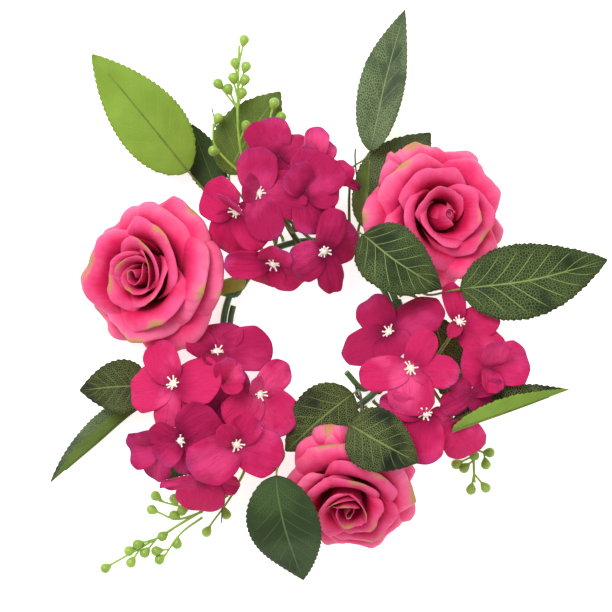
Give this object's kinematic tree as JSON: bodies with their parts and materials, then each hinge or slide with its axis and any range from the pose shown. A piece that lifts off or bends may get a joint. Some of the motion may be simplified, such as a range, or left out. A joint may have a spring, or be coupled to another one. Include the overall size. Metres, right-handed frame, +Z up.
{
  "type": "artificial flower wreath",
  "caption": "Small round wreath of cloth roses, hydrangea florets, serrated leaves and berry sprays wired to a hoop that rings a candle.",
  "frame": {"origin": "under the middle of the outline, on the surface the wreath lies on", "axes": "+Z up, out of the flowers; +X to the right and +Y to the back as the wreath is seen from above with its lone front rose nearest"},
  "size_m": [0.302, 0.309, 0.0639],
  "materials": {
    "coated_wire": "steel wire in smooth green plastic",
    "floral_tape": "creped green paper tape",
    "stem_plastic": "moulded olive green polythene",
    "rose_cloth": "dyed pink polyester, pressed and curled",
    "rose_heart_cloth": "dyed crimson polyester, rolled",
    "hydrangea_cloth": "dyed raspberry polyester with pressed veins",
    "leaf_cloth": "printed dark green polyester, lime underside",
    "berry_plastic": "moulded lime green polythene, soft sheen"
  },
  "bodies": {
    "root": {"back_hydrangea_floret_a": "hydrangea_cloth", "back_hydrangea_floret_b": "hydrangea_cloth", "back_hydrangea_floret_c": "hydrangea_cloth", "back_hydrangea_floret_d": "hydrangea_cloth", "back_hydrangea_floret_e": "hydrangea_cloth", "back_hydrangea_floret_f": "hydrangea_cloth", "back_hydrangea_stem": "stem_plastic", "back_rose_stem": "stem_plastic", "base_hoop": "coated_wire", "binding_band_1": "floral_tape", "binding_band_2": "floral_tape", "binding_band_3": "floral_tape", "binding_band_4": "floral_tape", "binding_band_5": "floral_tape", "binding_band_6": "floral_tape", "front_rose_stem": "stem_plastic", "leaf_10": "leaf_cloth", "leaf_11": "leaf_cloth", "leaf_12": "leaf_cloth", "leaf_3": "leaf_cloth", "leaf_5": "leaf_cloth", "leaf_6": "leaf_cloth", "leaf_7": "leaf_cloth", "leaf_9": "leaf_cloth", "left_hydrangea_floret_a": "hydrangea_cloth", "left_hydrangea_floret_b": "hydrangea_cloth", "left_hydrangea_floret_c": "hydrangea_cloth", "left_hydrangea_floret_d": "hydrangea_cloth", "left_hydrangea_floret_e": "hydrangea_cloth", "left_hydrangea_floret_f": "hydrangea_cloth", "left_hydrangea_stem": "stem_plastic", "left_rose_stem": "stem_plastic", "right_hydrangea_floret_a": "hydrangea_cloth", "right_hydrangea_floret_b": "hydrangea_cloth", "right_hydrangea_floret_c": "hydrangea_cloth", "right_hydrangea_floret_d": "hydrangea_cloth", "right_hydrangea_floret_e": "hydrangea_cloth", "right_hydrangea_floret_f": "hydrangea_cloth", "right_hydrangea_stem": "stem_plastic"},
    "left_rose_head": {"left_rose_calyx": "stem_plastic", "left_rose_outer_petals": "rose_cloth", "left_rose_inner_petals": "rose_cloth", "left_rose_bud": "rose_heart_cloth"},
    "back_rose_head": {"back_rose_calyx": "stem_plastic", "back_rose_outer_petals": "rose_cloth", "back_rose_inner_petals": "rose_cloth", "back_rose_bud": "rose_heart_cloth"},
    "front_rose_head": {"front_rose_calyx": "stem_plastic", "front_rose_outer_petals": "rose_cloth", "front_rose_inner_petals": "rose_cloth", "front_rose_bud": "rose_heart_cloth"},
    "leaf_1": {"leaf_1": "leaf_cloth"},
    "leaf_2": {"leaf_2": "leaf_cloth"},
    "leaf_4": {"leaf_4": "leaf_cloth"},
    "leaf_8": {"leaf_8": "leaf_cloth"},
    "leaf_13": {"leaf_13": "leaf_cloth"},
    "leaf_14": {"leaf_14": "leaf_cloth"},
    "back_spray": {"back_spray": "berry_plastic"},
    "left_spray": {"left_spray": "berry_plastic"},
    "right_spray": {"right_spray": "berry_plastic"}
  },
  "joints": [
    {"name": "left_rose_swivel", "type": "hinge", "parent": "root", "child": "left_rose_head", "pos_m": [-0.083, 0.01004, 0.015], "axis": [-0.5433, 0.038, 0.8387], "range_deg": [-35, 35]},
    {"name": "back_rose_swivel", "type": "hinge", "parent": "root", "child": "back_rose_head", "pos_m": [0.0521, 0.04093, 0.014], "axis": [0.3664, 0.0779, 0.9272], "range_deg": [-35, 35]},
    {"name": "front_rose_swivel", "type": "hinge", "parent": "root", "child": "front_rose_head", "pos_m": [0.0114, -0.09397, 0.016], "axis": [0, -0.6691, 0.7431], "range_deg": [-35, 35]},
    {"name": "leaf_1_bend", "type": "hinge", "parent": "root", "child": "leaf_1", "pos_m": [-0.04504, 0.01731, 0.0032], "axis": [0.6947, 0.7193, 0], "range_deg": [-5, 20]},
    {"name": "leaf_2_bend", "type": "hinge", "parent": "root", "child": "leaf_2", "pos_m": [-0.05388, -0.04185, 0.0032], "axis": [-0.454, 0.891, 0], "range_deg": [-4, 8]},
    {"name": "leaf_4_bend", "type": "hinge", "parent": "root", "child": "leaf_4", "pos_m": [0.01213, 0.02894, 0.0032], "axis": [0.9205, -0.3907, 0], "range_deg": [-4, 16]},
    {"name": "leaf_8_bend", "type": "hinge", "parent": "root", "child": "leaf_8", "pos_m": [0.03789, 0.00492, 0.0032], "axis": [0.454, -0.891, 0], "range_deg": [-2, 18]},
    {"name": "leaf_13_bend", "type": "hinge", "parent": "root", "child": "leaf_13", "pos_m": [-0.03217, -0.06394, 0.0032], "axis": [-0.8829, 0.4695, 0], "range_deg": [-14, 4]},
    {"name": "leaf_14_bend", "type": "hinge", "parent": "root", "child": "leaf_14", "pos_m": [-0.05608, -0.03692, 0.0032], "axis": [-0.3584, 0.9336, 0], "range_deg": [-3, 9]},
    {"name": "back_spray_bend", "type": "hinge", "parent": "root", "child": "back_spray", "pos_m": [-0.02379, 0.03013, 0.0032], "axis": [0.9511, 0.309, 0], "range_deg": [-3, 14]},
    {"name": "left_spray_swing", "type": "hinge", "parent": "root", "child": "left_spray", "pos_m": [-0.03803, -0.05981, 0.0032], "axis": [0, 0, 1], "range_deg": [-12, 20]},
    {"name": "right_spray_swing", "type": "hinge", "parent": "root", "child": "right_spray", "pos_m": [0.02131, -0.06032, 0.0032], "axis": [0, 0, 1], "range_deg": [-30, 10]}
  ]
}
